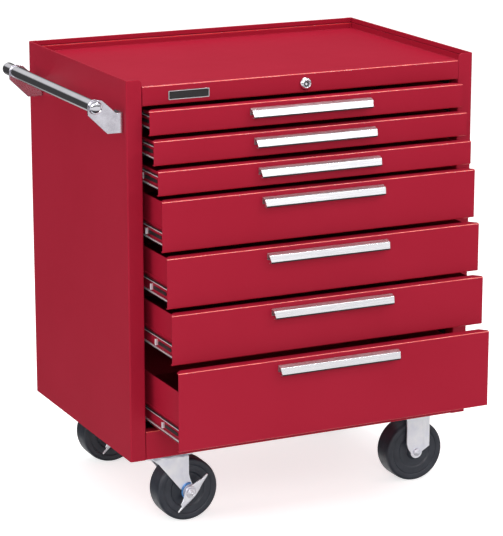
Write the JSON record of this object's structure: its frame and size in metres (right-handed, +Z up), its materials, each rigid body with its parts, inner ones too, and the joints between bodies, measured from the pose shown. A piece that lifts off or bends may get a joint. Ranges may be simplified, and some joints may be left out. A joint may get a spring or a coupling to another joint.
{
  "type": "rolling tool chest",
  "caption": "Sheet-metal roller cabinet with drawers of graded height, hooked pulls, a recessed top tray, key lock, side push handle, and rigid and braked swivel casters.",
  "frame": {"origin": "on the floor under the middle of the whole object's box, drawers as at rest", "axes": "+Z up, drawers open towards -Y, push handle on the -X side"},
  "size_m": [0.807, 0.6712, 0.889],
  "materials": {
    "red_paint": "smooth semi-gloss baked enamel",
    "chrome": "bright chrome plate",
    "pull_aluminium": "bright anodised extrusion",
    "zinc_plate": "bright zinc plate",
    "black_steel": "satin black",
    "wheel_rubber": "moulded hard rubber, satin",
    "badge": "gloss black, blank"
  },
  "bodies": {
    "cabinet": {"left_side_panel": "red_paint", "right_side_panel": "red_paint", "back_panel": "red_paint", "top_tray": "red_paint", "header_rail": "red_paint", "bottom_pan": "red_paint", "left_slide_liner": "black_steel", "right_slide_liner": "black_steel", "badge_plate": "badge", "lock_body": "chrome", "handle_bar": "chrome", "handle_bracket_front": "chrome", "handle_bracket_rear": "chrome", "swivel_plate_front": "zinc_plate", "swivel_plate_rear": "zinc_plate", "rigid_fork_front": "zinc_plate", "rigid_fork_rear": "zinc_plate", "rigid_axle_front": "zinc_plate", "rigid_axle_rear": "zinc_plate"},
    "drawer_1": {"drawer_1_box": "red_paint", "drawer_1_pull": "pull_aluminium", "drawer_1_slide_left": "zinc_plate", "drawer_1_slide_right": "zinc_plate"},
    "drawer_2": {"drawer_2_box": "red_paint", "drawer_2_pull": "pull_aluminium", "drawer_2_slide_left": "zinc_plate", "drawer_2_slide_right": "zinc_plate"},
    "drawer_3": {"drawer_3_box": "red_paint", "drawer_3_pull": "pull_aluminium", "drawer_3_slide_left": "zinc_plate", "drawer_3_slide_right": "zinc_plate"},
    "drawer_4": {"drawer_4_box": "red_paint", "drawer_4_pull": "pull_aluminium", "drawer_4_slide_left": "zinc_plate", "drawer_4_slide_right": "zinc_plate"},
    "drawer_5": {"drawer_5_box": "red_paint", "drawer_5_pull": "pull_aluminium", "drawer_5_slide_left": "zinc_plate", "drawer_5_slide_right": "zinc_plate"},
    "drawer_6": {"drawer_6_box": "red_paint", "drawer_6_pull": "pull_aluminium", "drawer_6_slide_left": "zinc_plate", "drawer_6_slide_right": "zinc_plate"},
    "drawer_7": {"drawer_7_box": "red_paint", "drawer_7_pull": "pull_aluminium", "drawer_7_slide_left": "zinc_plate", "drawer_7_slide_right": "zinc_plate"},
    "lock_bar": {"lock_bar": "black_steel"},
    "lock_plug": {"lock_plug": "chrome"},
    "caster_fork_front": {"swivel_fork_front": "zinc_plate", "swivel_axle_front": "zinc_plate"},
    "caster_wheel_front": {"swivel_wheel_front": "wheel_rubber"},
    "brake_lever_front": {"brake_lever_front": "zinc_plate"},
    "rigid_wheel_front": {"rigid_wheel_front": "wheel_rubber"},
    "caster_fork_rear": {"swivel_fork_rear": "zinc_plate", "swivel_axle_rear": "zinc_plate"},
    "caster_wheel_rear": {"swivel_wheel_rear": "wheel_rubber"},
    "brake_lever_rear": {"brake_lever_rear": "zinc_plate"},
    "rigid_wheel_rear": {"rigid_wheel_rear": "wheel_rubber"}
  },
  "joints": [
    {"name": "drawer_1_slide", "type": "slide", "parent": "cabinet", "child": "drawer_1", "axis": [0, -1, 0], "range_m": [-0.025, 0.315]},
    {"name": "drawer_2_slide", "type": "slide", "parent": "cabinet", "child": "drawer_2", "axis": [0, -1, 0], "range_m": [-0.043, 0.297]},
    {"name": "drawer_3_slide", "type": "slide", "parent": "cabinet", "child": "drawer_3", "axis": [0, -1, 0], "range_m": [-0.062, 0.278]},
    {"name": "drawer_4_slide", "type": "slide", "parent": "cabinet", "child": "drawer_4", "axis": [0, -1, 0], "range_m": [-0.079, 0.261]},
    {"name": "drawer_5_slide", "type": "slide", "parent": "cabinet", "child": "drawer_5", "axis": [0, -1, 0], "range_m": [-0.099, 0.241]},
    {"name": "drawer_6_slide", "type": "slide", "parent": "cabinet", "child": "drawer_6", "axis": [0, -1, 0], "range_m": [-0.119, 0.221]},
    {"name": "drawer_7_slide", "type": "slide", "parent": "cabinet", "child": "drawer_7", "axis": [0, -1, 0], "range_m": [-0.147, 0.193]},
    {"name": "lock_bar_drop", "type": "slide", "parent": "cabinet", "child": "lock_bar", "axis": [0, 0, -1], "range_m": [0, 0.01]},
    {"name": "lock_turn", "type": "hinge", "parent": "cabinet", "child": "lock_plug", "pos_m": [0.0355, -0.15835, 0.856], "axis": [0, 1, 0], "range_deg": [0, 90]},
    {"name": "caster_swivel_front", "type": "hinge", "parent": "cabinet", "child": "caster_fork_front", "pos_m": [-0.2425, -0.11235, 0.135], "axis": [0, 0, 1], "continuous": true},
    {"name": "caster_wheel_spin_front", "type": "hinge", "parent": "caster_fork_front", "child": "caster_wheel_front", "pos_m": [-0.1975, -0.11235, 0.0635], "axis": [0, 1, 0], "continuous": true},
    {"name": "brake_press_front", "type": "hinge", "parent": "caster_fork_front", "child": "brake_lever_front", "pos_m": [-0.1975, -0.11235, 0.0635], "axis": [0, 1, 0], "range_deg": [0, 40]},
    {"name": "rigid_wheel_spin_front", "type": "hinge", "parent": "cabinet", "child": "rigid_wheel_front", "pos_m": [0.3165, -0.10035, 0.0635], "axis": [0, 1, 0], "continuous": true},
    {"name": "caster_swivel_rear", "type": "hinge", "parent": "cabinet", "child": "caster_fork_rear", "pos_m": [-0.2425, 0.27565, 0.135], "axis": [0, 0, 1], "continuous": true},
    {"name": "caster_wheel_spin_rear", "type": "hinge", "parent": "caster_fork_rear", "child": "caster_wheel_rear", "pos_m": [-0.1975, 0.27565, 0.0635], "axis": [0, 1, 0], "continuous": true},
    {"name": "brake_press_rear", "type": "hinge", "parent": "caster_fork_rear", "child": "brake_lever_rear", "pos_m": [-0.1975, 0.27565, 0.0635], "axis": [0, 1, 0], "range_deg": [0, 40]},
    {"name": "rigid_wheel_spin_rear", "type": "hinge", "parent": "cabinet", "child": "rigid_wheel_rear", "pos_m": [0.3165, 0.26365, 0.0635], "axis": [0, 1, 0], "continuous": true}
  ],
  "couplings": [
    {"joint": "lock_turn", "follows": "lock_bar_drop", "rad_per_m": 157}
  ]
}
